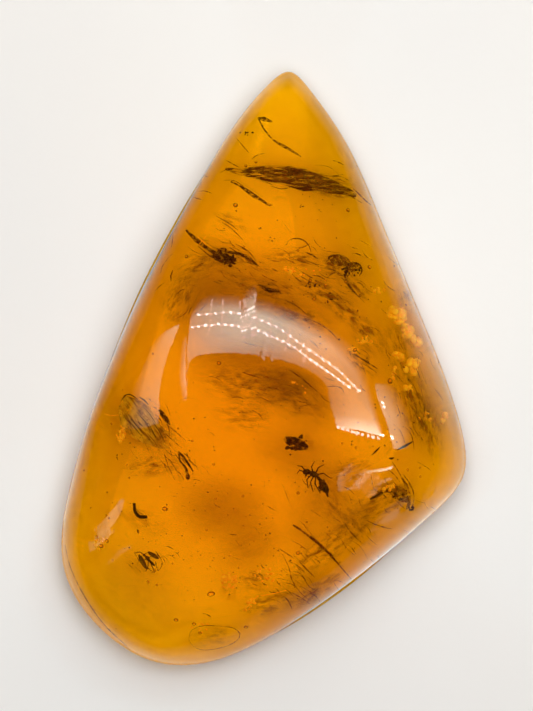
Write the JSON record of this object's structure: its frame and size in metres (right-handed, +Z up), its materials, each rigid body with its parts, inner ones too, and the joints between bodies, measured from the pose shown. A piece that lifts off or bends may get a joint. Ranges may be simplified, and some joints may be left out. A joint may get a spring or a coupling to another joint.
{
  "type": "amber with insect inclusion",
  "caption": "Polished teardrop cabochon of clear orange amber, domed above and flat below, with an ant, a midge, a bark sliver and plant scraps sealed inside.",
  "frame": {"origin": "centre of the bounding box in X and Y, at the height of the flat that the stone rests on", "axes": "+Z up through the dome, +Y along the stone's length towards its pointed end, +X to the right seen from above"},
  "size_m": [0.0314, 0.0461, 0.01],
  "materials": {
    "amber": "clear orange-yellow fossil resin, polished to a high gloss",
    "bark": "red-brown bark, dull",
    "dark_scrap": "dark brown plant or insect scrap, dull",
    "straw_scrap": "yellow-brown papery scrap, dull",
    "membrane": "thin grey-brown fibrous membrane, matte",
    "black_chitin": "near-black insect cuticle, satin",
    "brown_chitin": "dark brown insect cuticle, satin"
  },
  "bodies": {
    "root": {"amber_lower": "amber", "amber_upper": "amber", "bark_sliver": "bark", "red_fibre": "bark", "seed_scale": "dark_scrap", "twig": "dark_scrap", "debris_clump_left": "dark_scrap", "small_scrap": "dark_scrap", "lens_scrap": "dark_scrap", "forked_leg": "dark_scrap", "pellet": "dark_scrap", "debris_clump_right": "straw_scrap", "husk_fragment": "straw_scrap", "torn_membrane": "membrane", "ant": "black_chitin", "curved_fibre": "black_chitin", "winged_midge": "brown_chitin"}
  },
  "joints": []
}
